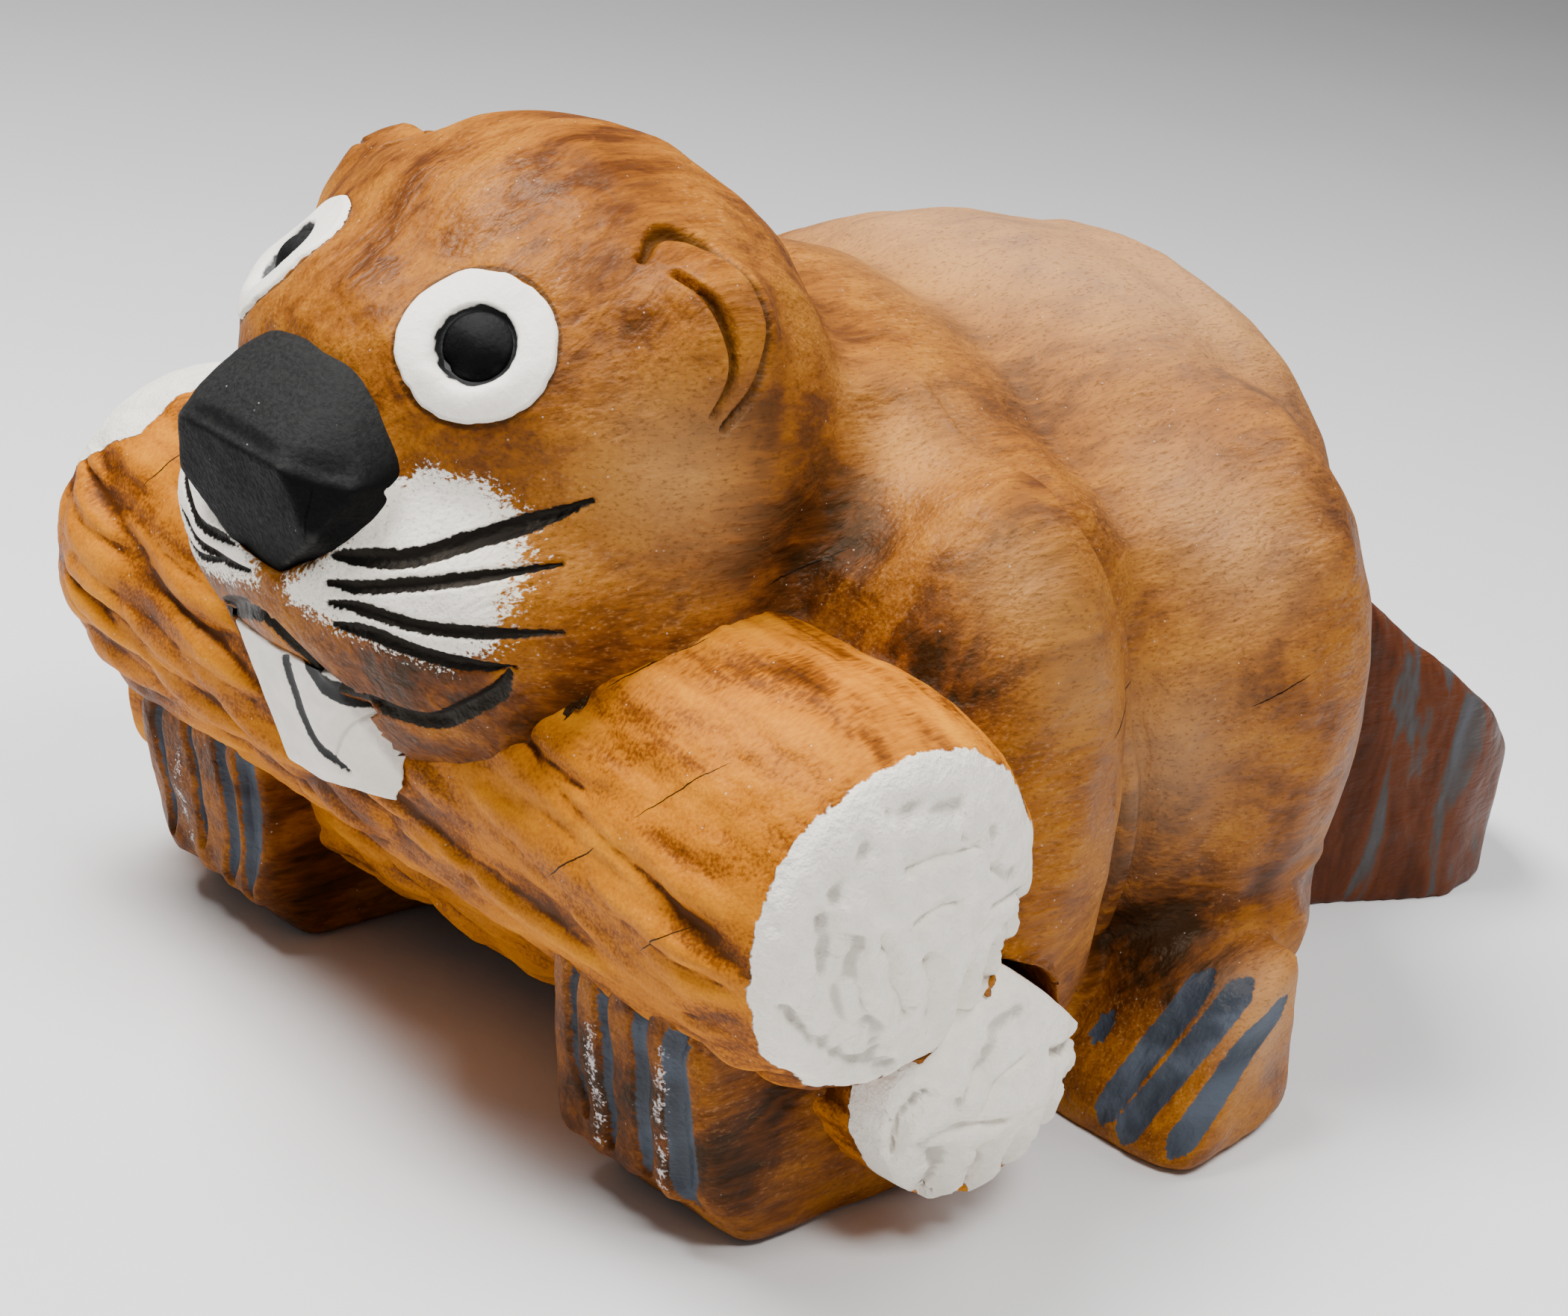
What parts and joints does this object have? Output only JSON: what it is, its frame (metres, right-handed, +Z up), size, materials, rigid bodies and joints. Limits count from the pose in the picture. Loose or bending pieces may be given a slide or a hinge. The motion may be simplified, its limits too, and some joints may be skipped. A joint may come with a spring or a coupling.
{
  "type": "carved wooden beaver sculpture",
  "caption": "Life-size carved and painted wooden beaver lying over two logs, a paw round each end of them, with a thick flat tail behind.",
  "frame": {"origin": "on the floor, under the middle of the carving's length and width", "axes": "+Z up, -Y the way the beaver looks, +X towards its left side"},
  "size_m": [0.5188, 0.8019, 0.4203],
  "materials": {
    "stained_wood": "orange-brown stain, satin",
    "log_wood": "golden ochre stain, gouged",
    "tail_wood": "dark red-brown and blue-grey paint, worn",
    "white_paint": "thick cream paint, matt",
    "black_paint": "black paint, satin"
  },
  "bodies": {
    "root": {"arm_left": "stained_wood", "arm_right": "stained_wood", "ear_left": "stained_wood", "ear_right": "stained_wood", "eye_left": "white_paint", "eye_right": "white_paint", "haunch_left": "stained_wood", "haunch_right": "stained_wood", "head": "stained_wood", "hind_foot_left": "stained_wood", "hind_foot_right": "stained_wood", "log_lower": "log_wood", "log_lower_tip_left": "white_paint", "log_lower_tip_right": "white_paint", "log_upper": "log_wood", "log_upper_tip_left": "white_paint", "log_upper_tip_right": "white_paint", "neck": "stained_wood", "nose": "black_paint", "paw_left": "stained_wood", "paw_right": "stained_wood", "pupil_left": "black_paint", "pupil_right": "black_paint", "tail": "tail_wood", "teeth": "white_paint", "trunk": "stained_wood"}
  },
  "joints": []
}
